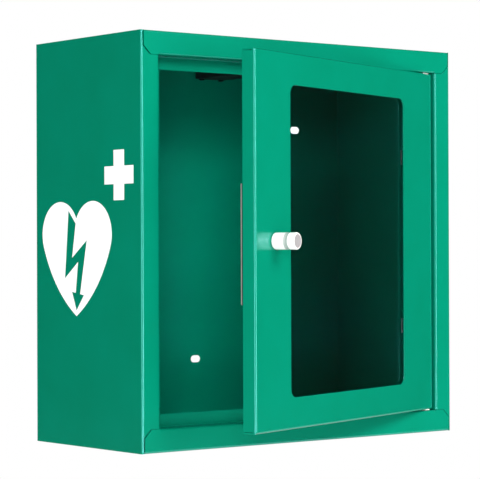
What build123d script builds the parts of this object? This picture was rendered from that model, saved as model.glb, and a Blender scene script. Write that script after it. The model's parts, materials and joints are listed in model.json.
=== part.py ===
from build123d import *
import os

# Wall cabinet for a defibrillator: a folded sheet-steel case with an inset glazed door on pivot pins,
# a magnetic catch, a pull knob, a battery door alarm under the ceiling and vinyl rescue signs.
# Millimetres. The origin is the centre of the face that lies on the wall, +X is to the right as seen
# from the front, the front looks along -Y and +Z is up.

# ---- driving dimensions of the case ----
WIDTH = 370.0
HEIGHT = 370.0
DEPTH = 170.0
SHEET = 1.2
BEND_OUTER = 2.0              # outer radius of every fold
SIDE_FLANGE = 19.5            # front flange seen left and right of the opening
END_FLANGE = 21.0             # front flange seen above and below the opening
RETURN_DEPTH = 16.0           # from the front plane back to the stop lip
STOP_LIP = 11.5               # how far the stop lip reaches into the opening
SEAM = 0.6                    # open joint between the wrap and the end panels
LEFT_SEAM = 1.4               # the same, upright, beside the left fold
SEAM_CHAMFER = 7.5            # cut corner of the end panels' front flanges
FIT = 0.2                     # assembly gap between folded parts

# ---- wall slots: two above, one below ----
SLOT_LENGTH = 12.0
SLOT_WIDTH = 7.0
SLOT_SPACING = 253.0
SLOT_HEIGHT = 115.0           # above and below the middle of the cabinet

# ---- door ----
SIDE_GAP = 3.0
END_GAP = 1.1
DOOR_SHIFT = -1.2             # the door hangs nearer the free side: 1.8 mm gap there, 4.2 mm at the hinge
PAN_DEPTH = 13.0
REAR_RETURN = 16.0            # inward return along the two upright edges of the pan
CORNER_SLIT = 0.5
WINDOW_WIDTH = 210.0
WINDOW_HEIGHT = 271.0
WINDOW_RADIUS = 8.0
AJAR = 19.6                   # degrees the door stands open at rest
HINGE_INSET = 5.5             # axis to the pan's upright edge
HINGE_SETBACK = 6.0           # axis to the pan's front face

# ---- glazing ----
PANE_LAP = 10.0               # pane beyond the window cut-out
PANE = 3.0
TAPE = 2.0
TAPE_WIDTH = 6.0
STUD_RADIUS = 2.0
STUD_LENGTH = 10.0
STUD_OFFSET = 6.0             # stud axis beyond the pane's edge
STUD_PITCH_SIDE = 160.0
STUD_PITCH_END = 120.0
CLIP = 1.0
CLIP_WIDTH = 14.0
CLIP_FOOT = 11.0
CLIP_TONGUE = 8.0
NUT_FLATS = 7.0
NUT_HEIGHT = 3.2

# ---- pivots ----
PIN_RADIUS = 2.5
PIN_REACH = 7.0               # pin length inside the door
PIN_HEAD_RADIUS = 4.0
PIN_HEAD = 1.6
RUNNING = 0.05                # radial clearance of the pin in its bush
BUSH_WALL = 1.45
BUSH_LENGTH = 6.0
BUSH_COLLAR_RADIUS = 5.0
UPPER_COLLAR = 0.4
LOWER_COLLAR = 0.8

# ---- knob ----
KNOB_FROM_EDGE = 31.0
KNOB_RADIUS = 7.4
KNOB_NECK_RADIUS = 6.6
KNOB_LENGTH = 23.0
KNOB_BARREL = 12.0
KNOB_NECK = 3.5
KNOB_EDGE = 2.0
SCREW_RADIUS = 2.0
SCREW_HEAD_RADIUS = 4.0
SCREW_HEAD = 2.6
WASHER_RADIUS = 6.0
WASHER = 1.0

# ---- magnetic catch and alarm magnet ----
STRIP_HEIGHT = 103.0
STRIP_WIDTH = 12.0
STRIP_DROP = 2.7
STRIP_TAPE = 1.5
STRIP_MAGNET = 1.0
DOOR_MAGNET = (40.0, 8.0, 11.0)
DOOR_MAGNET_TAPE = 1.0
DOOR_MAGNET_HEIGHT = 152.6    # its middle above the middle of the door

# ---- alarm ----
ALARM_X = 14.5
ALARM_WIDTH = 34.0
ALARM_LENGTH = 140.0
ALARM_BACK_GAP = 3.0
ALARM_HEIGHT = 21.5
ALARM_WALL = 1.6
ALARM_BASE = 2.0
ALARM_TAPE = 1.0
ALARM_CORNER = 3.0
BATTERY = (26.0, 45.5, 16.8)
BATTERY_TERMINAL = 2.5
HATCH_WIDTH = 30.0
HATCH_LENGTH = 52.0
HATCH_GAP = 0.3
BOSS_RADIUS = 3.6
BOSS_INSET = 5.0
ALARM_SCREW_RADIUS = 1.5
ALARM_SCREW_HEAD_RADIUS = 2.7
BOARD = (28.0, 70.0, 1.6)
SOUNDER_RADIUS = 13.0
SOUNDER_HEIGHT = 12.0
GRILLE_RADIUS = 1.2
GRILLE_PITCH = 5.0
SWITCH_TRAVEL = 4.0
SWITCH_KNOB = (4.0, 5.0)

# ---- rescue signs ----
VINYL = 0.15
HEART_FROM_WALL = 68.0
HEART_LOBE = 30.0
HEART_LOBE_OFFSET = 26.4
HEART_LOBE_Z = 7.0
HEART_TIP_Z = -67.0
HEART_LOBE_END = -22.0        # degrees round the lobe where the straight-looking side begins
CROSS_FROM_WALL = 135.8
CROSS_Z = 59.2
CROSS_SIZE = 44.5
CROSS_ARM = 16.0

# ---- worked-out values ----
HALF_W = WIDTH / 2
HALF_H = HEIGHT / 2
MID = SHEET / 2
BEND_MID = BEND_OUTER - MID
FRONT = -DEPTH
OPEN_X = HALF_W - SIDE_FLANGE
OPEN_Z = HALF_H - END_FLANGE
LIP_FRONT = FRONT + RETURN_DEPTH
LIP_X = OPEN_X - STOP_LIP
LIP_Z = OPEN_Z - STOP_LIP
DOOR_X = OPEN_X - SIDE_GAP
DOOR_Z = OPEN_Z - END_GAP
PAN_BACK = FRONT + PAN_DEPTH
SKIN_BACK = FRONT + SHEET
PIVOT_X = DOOR_X - HINGE_INSET               # the axis in the door's own frame
HINGE_X = PIVOT_X + DOOR_SHIFT               # and in the case
HINGE_Y = FRONT + HINGE_SETBACK
PANE_FRONT = SKIN_BACK + TAPE
PANE_BACK = PANE_FRONT + PANE
PANE_X = WINDOW_WIDTH / 2 + PANE_LAP
PANE_Z = WINDOW_HEIGHT / 2 + PANE_LAP
CEILING = HALF_H - SHEET
ALARM_TOP = CEILING - ALARM_TAPE
ALARM_BOTTOM = ALARM_TOP - ALARM_HEIGHT
COVER_TOP = ALARM_TOP - ALARM_BASE
ALARM_BACK = -SHEET - ALARM_BACK_GAP
ALARM_FRONT = ALARM_BACK - ALARM_LENGTH
ALARM_Y = (ALARM_BACK + ALARM_FRONT) / 2
HATCH_Y = ALARM_BACK - 12.0 - HATCH_LENGTH / 2
HATCH_RIGHT = ALARM_X + ALARM_WIDTH / 2
BOARD_Y = ALARM_FRONT + 4.0 + BOARD[1] / 2
SOUNDER_Y = BOARD_Y + 14.0
SWITCH_Y = ALARM_FRONT + 14.0
SWITCH_X = ALARM_X - 6.0
REED_X = ALARM_X + 5.0
REED_HALF = 6.0


# ---- small helpers ----
def block(x0, x1, y0, y1, z0, z1):
    """A box between two corners."""
    size = (abs(x1 - x0), abs(y1 - y0), abs(z1 - z0))
    return Pos((x0 + x1) / 2, (y0 + y1) / 2, (z0 + z1) / 2) * Box(*size)


def rod(radius, start, end):
    """A round rod between two points that differ along one axis."""
    path = Line(start, end)
    plane = Plane(origin=start, z_dir=path % 0)
    return extrude(plane * Circle(radius), path.length)


def hexagon(flats, start, height):
    """A hexagonal prism that grows along +Y from its start point."""
    plane = Plane(origin=start, z_dir=(0, 1, 0))
    return extrude(plane * RegularPolygon(flats / 2, 6, major_radius=False), height)


def folded(plane, points, length):
    """A folded sheet: the middle line of its section, thickened and carried both ways by length."""
    section = trace(FilletPolyline(*points, radius=BEND_MID), SHEET)
    return plane * extrude(section, length, both=True)


def swing(shape):
    """Hang a part of the centred, closed door in the opening and turn it to where the door stands at rest."""
    hung = Pos(-PIVOT_X, -HINGE_Y) * shape
    return Pos(HINGE_X, HINGE_Y) * Rot(0, 0, AJAR) * hung


nodes = {}


# ---- case ----
def cabinet_wrap():
    """Left side, back and right side in one folded sheet, with front flanges, returns and stop lips."""
    half = [
        (LIP_X, LIP_FRONT + MID),
        (OPEN_X + MID, LIP_FRONT + MID),
        (OPEN_X + MID, FRONT + MID),
        (HALF_W - MID, FRONT + MID),
        (HALF_W - MID, -MID),
    ]
    other = [(-x, y) for x, y in reversed(half)]
    body = folded(Plane.XY, half + other, HALF_H)
    notch_x = HALF_W - BEND_OUTER + FIT
    notch_z = OPEN_Z - SEAM / 2
    for sx in (-1, 1):
        for sz in (-1, 1):
            outline = [
                (notch_x, HEIGHT),
                (notch_x, notch_z + SEAM_CHAMFER),
                (notch_x - SEAM_CHAMFER, notch_z),
                (0, notch_z),
                (0, HEIGHT),
            ]
            corner = make_face(Polyline(*[(sx * x, sz * z) for x, z in outline], close=True))
            cut = extrude(Plane.XZ.offset(DEPTH - RETURN_DEPTH - 2 * SHEET) * corner, 2 * RETURN_DEPTH)
            body -= cut
            body -= block(sx * (OPEN_X - FIT), sx * (LIP_X - 1), LIP_FRONT - 1, LIP_FRONT + 2 * SHEET,
                          sz * (LIP_Z - FIT), sz * HALF_H)
    for x, z in ((-SLOT_SPACING / 2, SLOT_HEIGHT), (SLOT_SPACING / 2, SLOT_HEIGHT), (0, -SLOT_HEIGHT)):
        slot = Plane(origin=(x, 1, z), x_dir=(1, 0, 0), z_dir=(0, -1, 0)) * SlotOverall(SLOT_LENGTH, SLOT_WIDTH)
        body -= extrude(slot, 2 + SHEET)
    return body


def end_panel():
    """Top panel: ceiling sheet, front flange with cut corners, return and stop lip."""
    top = HALF_H - MID
    back = -SHEET - FIT
    full = [
        (back, top),
        (FRONT + MID, top),
        (FRONT + MID, OPEN_Z + MID),
        (LIP_FRONT + MID, OPEN_Z + MID),
        (LIP_FRONT + MID, LIP_Z),
    ]
    body = folded(Plane.YZ, full, OPEN_X - FIT)
    angle = [(back, top), (FRONT + MID, top), (FRONT + MID, OPEN_Z)]
    inner = OPEN_X - FIT
    for sx, seam in ((-1, LEFT_SEAM), (1, SEAM)):
        outer = HALF_W - BEND_OUTER + FIT - seam
        ear = folded(Plane.YZ, angle, (outer - inner) / 2)
        ear = Pos(sx * (outer + inner) / 2) * ear
        outline = [(outer, OPEN_Z), (outer - SEAM_CHAMFER, OPEN_Z), (outer, OPEN_Z + SEAM_CHAMFER)]
        corner = make_face(Polyline(*[(sx * x, z) for x, z in outline], close=True))
        ear -= extrude(Plane.XZ.offset(DEPTH / 2) * corner, DEPTH)
        edge = block(sx * outer, sx * (HALF_W - SHEET - FIT / 2), FRONT + BEND_OUTER + FIT, -BEND_OUTER - FIT,
                     CEILING, HALF_H)
        body += ear + edge
    body -= rod(PIN_RADIUS + RUNNING, (HINGE_X, HINGE_Y, OPEN_Z - 1), (HINGE_X, HINGE_Y, OPEN_Z + 3))
    return body


nodes["cabinet_wrap"] = cabinet_wrap()
nodes["top_panel"] = end_panel()
nodes["bottom_panel"] = mirror(nodes["top_panel"], about=Plane.XY)


# ---- pivots ----
def hinge_pin(side):
    """Steel pin riveted in the case's return, reaching into the door: side is +1 above, -1 below."""
    stem = rod(PIN_RADIUS, (HINGE_X, HINGE_Y, side * (DOOR_Z - PIN_REACH)),
               (HINGE_X, HINGE_Y, side * (OPEN_Z + SHEET)))
    head = rod(PIN_HEAD_RADIUS, (HINGE_X, HINGE_Y, side * (OPEN_Z + SHEET)),
               (HINGE_X, HINGE_Y, side * (OPEN_Z + SHEET + PIN_HEAD)))
    head = fillet(head.edges().group_by(Axis.Z)[-1 if side > 0 else 0], 0.6)
    return stem + head


def hinge_bush(side, collar):
    """Nylon bush in the pan's end flange. The lower one's thick collar carries the door in the gap."""
    radius = PIN_RADIUS + RUNNING + BUSH_WALL
    bush = rod(radius, (PIVOT_X, HINGE_Y, side * (DOOR_Z - BUSH_LENGTH)), (PIVOT_X, HINGE_Y, side * DOOR_Z))
    bush += rod(BUSH_COLLAR_RADIUS, (PIVOT_X, HINGE_Y, side * DOOR_Z),
                (PIVOT_X, HINGE_Y, side * (DOOR_Z + collar)))
    bush -= rod(PIN_RADIUS + RUNNING, (PIVOT_X, HINGE_Y, side * (DOOR_Z - 2 * BUSH_LENGTH)),
                (PIVOT_X, HINGE_Y, side * (DOOR_Z + 2 * BUSH_LENGTH)))
    return bush


nodes["upper_hinge_pin"] = hinge_pin(1)
nodes["lower_hinge_pin"] = hinge_pin(-1)
nodes["upper_hinge_bush"] = swing(hinge_bush(1, UPPER_COLLAR))
nodes["lower_hinge_bush"] = swing(hinge_bush(-1, LOWER_COLLAR))


# ---- door ----
def window_outline(lap, radius):
    return Plane.XZ * RectangleRounded(WINDOW_WIDTH + 2 * lap, WINDOW_HEIGHT + 2 * lap, radius)


def knob_x():
    return -DOOR_X + KNOB_FROM_EDGE


def stud_places():
    """Eight weld studs round the pane: two along each side, with the inward direction of each."""
    side_x = PANE_X + STUD_OFFSET
    end_z = PANE_Z + STUD_OFFSET
    places = []
    for s in (-1, 1):
        for t in (-1, 1):
            places.append((s * side_x, t * STUD_PITCH_SIDE / 2, 0 if s < 0 else 180))
            places.append((t * STUD_PITCH_END / 2, s * end_z, -90 if s > 0 else 90))
    return places


def door_pan():
    """Front skin with four flanges, two rear returns, the window cut-out and holes for knob and bushes."""
    outer = block(-DOOR_X, DOOR_X, FRONT, PAN_BACK, -DOOR_Z, DOOR_Z)
    outer = fillet(outer.edges().group_by(Axis.Y)[0], BEND_OUTER)
    inner = block(-DOOR_X + SHEET, DOOR_X - SHEET, SKIN_BACK, PAN_BACK + 5, -DOOR_Z + SHEET, DOOR_Z - SHEET)
    inner = fillet(inner.edges().group_by(Axis.Y)[0], BEND_OUTER - SHEET)
    pan = outer - inner
    for s in (-1, 1):
        pan += block(s * (DOOR_X - SHEET), s * (DOOR_X - REAR_RETURN), PAN_BACK - SHEET, PAN_BACK,
                     -DOOR_Z + 2 * SHEET, DOOR_Z - 2 * SHEET)
        for t in (-1, 1):
            pan -= block(s * (DOOR_X - SHEET), s * (DOOR_X + 1), FRONT + BEND_OUTER + 1, PAN_BACK + 1,
                         t * (DOOR_Z - SHEET), t * (DOOR_Z - SHEET - CORNER_SLIT))
    pan -= extrude(Plane.XZ.offset(DEPTH - 5) * RectangleRounded(WINDOW_WIDTH, WINDOW_HEIGHT, WINDOW_RADIUS), 10)
    pan -= rod(SCREW_RADIUS + FIT, (knob_x(), FRONT - 1, 0), (knob_x(), FRONT + 5, 0))
    bush_hole = PIN_RADIUS + RUNNING + BUSH_WALL
    for s in (-1, 1):
        pan -= rod(bush_hole, (PIVOT_X, HINGE_Y, s * (DOOR_Z - 2 * SHEET)), (PIVOT_X, HINGE_Y, s * (DOOR_Z + 1)))
    return pan


def window_pane():
    outline = RectangleRounded(2 * PANE_X, 2 * PANE_Z, 4.0)
    return extrude(Plane.XZ.offset(-PANE_BACK) * outline, PANE)


def window_tape():
    """Foam tape frame between the skin and the pane."""
    outline = RectangleRounded(2 * PANE_X, 2 * PANE_Z, 4.0)
    outline -= RectangleRounded(2 * (PANE_X - TAPE_WIDTH), 2 * (PANE_Z - TAPE_WIDTH), 4.0)
    return extrude(Plane.XZ.offset(-PANE_FRONT) * outline, TAPE)


def stud():
    """Weld stud at the origin of a clip: it stands on the back of the skin."""
    return rod(STUD_RADIUS, (0, SKIN_BACK, 0), (0, SKIN_BACK + STUD_LENGTH, 0))


def clip():
    """Stepped steel clip: its foot is under the nut and its tongue, towards +X, is on the pane."""
    step = STUD_OFFSET - CLIP - FIT
    foot = block(-CLIP_FOOT / 2, step + CLIP, SKIN_BACK, SKIN_BACK + CLIP, -CLIP_WIDTH / 2, CLIP_WIDTH / 2)
    web = block(step, step + CLIP, SKIN_BACK, PANE_BACK + CLIP, -CLIP_WIDTH / 2, CLIP_WIDTH / 2)
    tongue = block(step, step + CLIP_TONGUE, PANE_BACK, PANE_BACK + CLIP, -CLIP_WIDTH / 2, CLIP_WIDTH / 2)
    return foot + web + tongue - rod(STUD_RADIUS + FIT, (0, SKIN_BACK - 1, 0), (0, SKIN_BACK + 3, 0))


def nut():
    body = hexagon(NUT_FLATS, (0, SKIN_BACK + CLIP, 0), NUT_HEIGHT)
    return body - rod(STUD_RADIUS, (0, SKIN_BACK, 0), (0, SKIN_BACK + STUD_LENGTH, 0))


def round_the_pane(piece):
    """The same piece at every stud, turned to face the pane, as one group of separate solids."""
    return Compound([swing(Pos(x, 0, z) * Rot(0, -turn, 0) * piece).solid() for x, z, turn in stud_places()])


def door_knob():
    """Turned pull knob: round-edged barrel, shallow waist and round-edged head, with a screw hole."""
    base = (knob_x(), FRONT, 0)
    waist_end = KNOB_BARREL + KNOB_NECK
    dip = KNOB_RADIUS - KNOB_NECK_RADIUS
    outline = Line((0, 0), (KNOB_RADIUS - KNOB_EDGE, 0))
    outline += RadiusArc((KNOB_RADIUS - KNOB_EDGE, 0), (KNOB_RADIUS, KNOB_EDGE), -KNOB_EDGE)
    outline += Line((KNOB_RADIUS, KNOB_EDGE), (KNOB_RADIUS, KNOB_BARREL))
    outline += ThreePointArc((KNOB_RADIUS, KNOB_BARREL), (KNOB_RADIUS - dip, KNOB_BARREL + KNOB_NECK / 2),
                             (KNOB_RADIUS, waist_end))
    outline += Line((KNOB_RADIUS, waist_end), (KNOB_RADIUS, KNOB_LENGTH - KNOB_EDGE))
    outline += RadiusArc((KNOB_RADIUS, KNOB_LENGTH - KNOB_EDGE), (KNOB_RADIUS - KNOB_EDGE, KNOB_LENGTH),
                         -KNOB_EDGE)
    outline += Line((KNOB_RADIUS - KNOB_EDGE, KNOB_LENGTH), (0, KNOB_LENGTH))
    outline += Line((0, KNOB_LENGTH), (0, 0))
    body = revolve(make_face(outline.edges()), Axis.Y)
    body = Pos(*base) * Rot(180, 0, 0) * body
    return body - rod(SCREW_RADIUS, (knob_x(), FRONT + 1, 0), (knob_x(), FRONT - KNOB_BARREL, 0))


def knob_washer():
    ring = rod(WASHER_RADIUS, (knob_x(), SKIN_BACK, 0), (knob_x(), SKIN_BACK + WASHER, 0))
    return ring - rod(SCREW_RADIUS + FIT, (knob_x(), SKIN_BACK - 1, 0), (knob_x(), SKIN_BACK + 3, 0))


def knob_screw():
    """Pan-head screw from inside the door, with a cross recess."""
    seat = SKIN_BACK + WASHER
    shank = rod(SCREW_RADIUS, (knob_x(), FRONT - KNOB_BARREL + 1, 0), (knob_x(), seat, 0))
    head = rod(SCREW_HEAD_RADIUS, (knob_x(), seat, 0), (knob_x(), seat + SCREW_HEAD, 0))
    head = fillet(head.edges().group_by(Axis.Y)[-1], 1.0)
    for wide, tall in ((4.2, 0.9), (0.9, 4.2)):
        head -= block(knob_x() - wide / 2, knob_x() + wide / 2, seat + SCREW_HEAD - 1.4, seat + SCREW_HEAD + 1,
                      -tall / 2, tall / 2)
    return shank + head


def catch_layer(near, thick):
    """One layer of the magnetic catch on the free edge's rear return."""
    left = -DOOR_X + 1.0
    return block(left, left + STRIP_WIDTH, PAN_BACK + near, PAN_BACK + near + thick,
                 -STRIP_DROP - STRIP_HEIGHT / 2, -STRIP_DROP + STRIP_HEIGHT / 2)


def alarm_magnet():
    """Magnet in a plastic block on the back of the skin, above the pane, facing the alarm's sensor."""
    wide, thick, tall = DOOR_MAGNET
    front = SKIN_BACK + DOOR_MAGNET_TAPE
    body = block(ALARM_X - wide / 2, ALARM_X + wide / 2, front, front + thick,
                 DOOR_MAGNET_HEIGHT - tall / 2, DOOR_MAGNET_HEIGHT + tall / 2)
    return fillet(body.edges().group_by(Axis.Y)[-1], 1.2)


def alarm_magnet_tape():
    wide, _, tall = DOOR_MAGNET
    return block(ALARM_X - wide / 2 + 1, ALARM_X + wide / 2 - 1, SKIN_BACK, SKIN_BACK + DOOR_MAGNET_TAPE,
                 DOOR_MAGNET_HEIGHT - tall / 2 + 1, DOOR_MAGNET_HEIGHT + tall / 2 - 1)


nodes["door_pan"] = swing(door_pan())
nodes["window_pane"] = swing(window_pane())
nodes["window_tape"] = swing(window_tape())
nodes["window_studs"] = round_the_pane(stud())
nodes["window_clips"] = round_the_pane(clip())
nodes["window_nuts"] = round_the_pane(nut())
nodes["door_knob"] = swing(door_knob())
nodes["knob_washer"] = swing(knob_washer())
nodes["knob_screw"] = swing(knob_screw())
nodes["catch_tape"] = swing(catch_layer(0, STRIP_TAPE))
nodes["catch_magnet"] = swing(catch_layer(STRIP_TAPE, STRIP_MAGNET))
nodes["door_magnet"] = swing(alarm_magnet())
nodes["door_magnet_tape"] = swing(alarm_magnet_tape())


# ---- door alarm under the ceiling ----
def alarm_outline(inset, radius):
    return Pos(ALARM_X, ALARM_Y) * RectangleRounded(ALARM_WIDTH - 2 * inset, ALARM_LENGTH - 2 * inset, radius)


def boss_places():
    dx = ALARM_WIDTH / 2 - BOSS_INSET
    dy = ALARM_LENGTH / 2 - BOSS_INSET
    return [(ALARM_X + sx * dx, ALARM_Y + sy * dy) for sx in (-1, 1) for sy in (-1, 1)]


def alarm_base():
    """Back plate that is taped to the ceiling and takes the cover's screws."""
    plate = extrude(Plane.XY.offset(COVER_TOP) * alarm_outline(0, ALARM_CORNER), ALARM_BASE)
    for x, y in boss_places():
        plate -= rod(ALARM_SCREW_RADIUS, (x, y, COVER_TOP - 1), (x, y, ALARM_TOP + 1))
    return plate


def alarm_cover():
    """Open-topped shell with corner bosses, a sounder grille, a switch slot and a battery hatch."""
    shell = extrude(Plane.XY.offset(ALARM_BOTTOM) * alarm_outline(0, ALARM_CORNER), COVER_TOP - ALARM_BOTTOM)
    shell = fillet(shell.edges().group_by(Axis.Z)[0], 1.0)
    shell -= extrude(Plane.XY.offset(ALARM_BOTTOM + ALARM_WALL) * alarm_outline(ALARM_WALL, 1.6), ALARM_HEIGHT)
    for x, y in boss_places():
        boss = rod(BOSS_RADIUS, (x, y, ALARM_BOTTOM + 0.5), (x, y, COVER_TOP))
        shell += boss & extrude(Plane.XY.offset(ALARM_BOTTOM) * alarm_outline(0, ALARM_CORNER), ALARM_HEIGHT)
        shell -= rod(ALARM_SCREW_RADIUS + FIT / 2, (x, y, ALARM_BOTTOM - 1), (x, y, COVER_TOP + 1))
    rows = range(-2, 3)
    for i in rows:
        for j in rows:
            if abs(i) + abs(j) < 4:
                x = ALARM_X + i * GRILLE_PITCH
                y = SOUNDER_Y + j * GRILLE_PITCH
                shell -= rod(GRILLE_RADIUS, (x, y, ALARM_BOTTOM - 1), (x, y, ALARM_BOTTOM + 3))
    slot_x = SWITCH_KNOB[0] / 2 + HATCH_GAP
    slot_y = SWITCH_KNOB[1] / 2 + HATCH_GAP
    shell -= block(SWITCH_X - slot_x, SWITCH_X + slot_x, SWITCH_Y - slot_y, SWITCH_Y + SWITCH_TRAVEL + slot_y,
                   ALARM_BOTTOM - 1, ALARM_BOTTOM + 3)
    shell -= block(HATCH_RIGHT - HATCH_WIDTH - HATCH_GAP, HATCH_RIGHT + 1,
                   HATCH_Y - HATCH_LENGTH / 2 - HATCH_GAP, HATCH_Y + HATCH_LENGTH / 2 + HATCH_GAP,
                   ALARM_BOTTOM - 1, ALARM_BOTTOM + ALARM_WALL + HATCH_GAP)
    return shell


def battery_hatch():
    """Sliding battery cover in the underside, with three finger ribs. It slides out along +X."""
    plate = block(HATCH_RIGHT - HATCH_WIDTH, HATCH_RIGHT, HATCH_Y - HATCH_LENGTH / 2, HATCH_Y + HATCH_LENGTH / 2,
                  ALARM_BOTTOM, ALARM_BOTTOM + ALARM_WALL)
    for i in range(3):
        x = HATCH_RIGHT - 8 - 3 * i
        plate += block(x - 0.5, x + 0.5, HATCH_Y - 9, HATCH_Y + 9, ALARM_BOTTOM - 0.5, ALARM_BOTTOM + 0.2)
    return plate


def alarm_battery():
    """Nine-volt block: a rounded can with two terminals at the end towards the board."""
    wide, long, tall = BATTERY
    z = ALARM_BOTTOM + ALARM_WALL + 2 * HATCH_GAP + tall / 2
    y = HATCH_Y + 1.0
    can = Pos(ALARM_X, y, z) * Box(wide, long, tall)
    can = fillet(can.edges().filter_by(Axis.Y), 2.0)
    front = y - long / 2
    for s in (-1, 1):
        x = ALARM_X + s * wide / 4
        can += rod(2.9, (x, front - BATTERY_TERMINAL, z), (x, front, z))
    return can


def battery_snap():
    """Contact plate against the battery's terminals."""
    wide, long, tall = BATTERY
    z = ALARM_BOTTOM + ALARM_WALL + 2 * HATCH_GAP + tall / 2
    front = HATCH_Y + 1.0 - long / 2 - BATTERY_TERMINAL
    return block(ALARM_X - wide / 2, ALARM_X + wide / 2, front - 1.6, front, z - 6, z + 6)


def alarm_board():
    wide, long, thick = BOARD
    top = COVER_TOP - 0.6
    board = block(ALARM_X - wide / 2, ALARM_X + wide / 2, BOARD_Y - long / 2, BOARD_Y + long / 2, top - thick, top)
    for x, y in boss_places():
        board -= rod(BOSS_RADIUS + FIT, (x, y, top - 3), (x, y, top + 1))
    return board


def alarm_sounder():
    """Piezo sounder under the board, over the grille."""
    top = COVER_TOP - 0.6 - BOARD[2]
    return rod(SOUNDER_RADIUS, (ALARM_X, SOUNDER_Y, top - SOUNDER_HEIGHT), (ALARM_X, SOUNDER_Y, top))


def reed_sensor():
    """Glass reed tube on the board, near the front end, lying across the alarm."""
    z = COVER_TOP - 0.6 - BOARD[2] - 1.3
    return rod(1.3, (REED_X - REED_HALF, SWITCH_Y - 4, z), (REED_X + REED_HALF, SWITCH_Y - 4, z))


def switch_body():
    top = COVER_TOP - 0.6 - BOARD[2]
    base = ALARM_BOTTOM + ALARM_WALL + 1.0
    middle = SWITCH_Y + SWITCH_TRAVEL / 2
    return block(SWITCH_X - 4, SWITCH_X + 4, middle - 7, middle + 7, base, top)


def switch_slider():
    """Slide knob of the on-off switch, standing out of the slot."""
    wide, long = SWITCH_KNOB
    knob = block(SWITCH_X - wide / 2, SWITCH_X + wide / 2, SWITCH_Y - long / 2, SWITCH_Y + long / 2,
                 ALARM_BOTTOM - 1.5, ALARM_BOTTOM + ALARM_WALL + 0.7)
    return knob


def alarm_screw(x, y):
    shank = rod(ALARM_SCREW_RADIUS, (x, y, ALARM_BOTTOM), (x, y, ALARM_TOP - 0.2))
    head = rod(ALARM_SCREW_HEAD_RADIUS, (x, y, ALARM_BOTTOM - 1.6), (x, y, ALARM_BOTTOM))
    head = fillet(head.edges().group_by(Axis.Z)[0], 0.8)
    for wide, long in ((3.0, 0.7), (0.7, 3.0)):
        head -= block(x - wide / 2, x + wide / 2, y - long / 2, y + long / 2, ALARM_BOTTOM - 2, ALARM_BOTTOM - 0.7)
    return shank + head


def alarm_tape(side):
    y = ALARM_Y + side * ALARM_LENGTH / 4
    return block(ALARM_X - 12, ALARM_X + 12, y - 22, y + 22, ALARM_TOP, CEILING)


nodes["alarm_base"] = alarm_base()
nodes["alarm_cover"] = alarm_cover()
nodes["battery_hatch"] = battery_hatch()
nodes["alarm_battery"] = alarm_battery()
nodes["battery_snap"] = battery_snap()
nodes["alarm_board"] = alarm_board()
nodes["alarm_sounder"] = alarm_sounder()
nodes["reed_sensor"] = reed_sensor()
nodes["switch_body"] = switch_body()
nodes["switch_slider"] = switch_slider()
nodes["alarm_screws"] = Compound([alarm_screw(x, y).solid() for x, y in boss_places()])
nodes["alarm_tapes"] = Compound([alarm_tape(side).solid() for side in (-1, 1)])


# ---- rescue signs on both sides ----
def heart_outline():
    """Two round lobes that run on into arcs to the tip, less a lightning bolt with an arrow point."""
    centre = Vector(HEART_LOBE_OFFSET, HEART_LOBE_Z)
    cusp = (0, HEART_LOBE_Z + (HEART_LOBE**2 - HEART_LOBE_OFFSET**2) ** 0.5)
    top = centre + Vector(0, HEART_LOBE)
    end = centre + Vector(HEART_LOBE, 0).rotate(Axis.Z, HEART_LOBE_END)
    lobe = ThreePointArc(cusp, top, end)
    side = TangentArc(end, (0, HEART_TIP_Z), tangent=lobe % 1)
    half = make_face([*lobe.edges(), *side.edges(), Line((0, HEART_TIP_Z), cusp)])
    bolt = [
        (-13, 29), (-1, 17), (-7, -14), (17, 2), (6, -47), (12, -48),
        (0, -62), (-7.5, -45), (-1.5, -46), (2.5, -18), (-19, -33),
    ]
    return half + mirror(half, about=Plane.YZ) - make_face(Polyline(*bolt, close=True))


def cross_outline():
    return Rectangle(CROSS_SIZE, CROSS_ARM) + Rectangle(CROSS_ARM, CROSS_SIZE)


def sign(outline, side, from_wall, z):
    """A vinyl sign on a side panel: side is -1 on the left and +1 on the right."""
    plane = Plane(origin=(side * HALF_W, -from_wall, z), x_dir=(0, side, 0), z_dir=(side, 0, 0))
    return extrude(plane * outline, VINYL)


for name, side in (("left", -1), ("right", 1)):
    nodes[f"{name}_heart_sign"] = sign(heart_outline(), side, HEART_FROM_WALL, 0)
    nodes[f"{name}_cross_sign"] = sign(cross_outline(), side, CROSS_FROM_WALL, CROSS_Z)


os.makedirs("parts", exist_ok=True)
for name, shape in nodes.items():
    export_step(shape, f"parts/{name}.step")
    print(f"{name}: {len(shape.solids())} solids, {shape.volume / 1000:.2f} cm3")
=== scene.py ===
# %% [markdown]
# # A steel wall cabinet for a defibrillator
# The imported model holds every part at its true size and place, in metres. This lesson leaves those places alone.
# It gives the folded sheet metal its rounded edges, makes the turned and moulded pieces as surfaces of two
# parameters, and then works out each finish from what the real material is.

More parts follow.
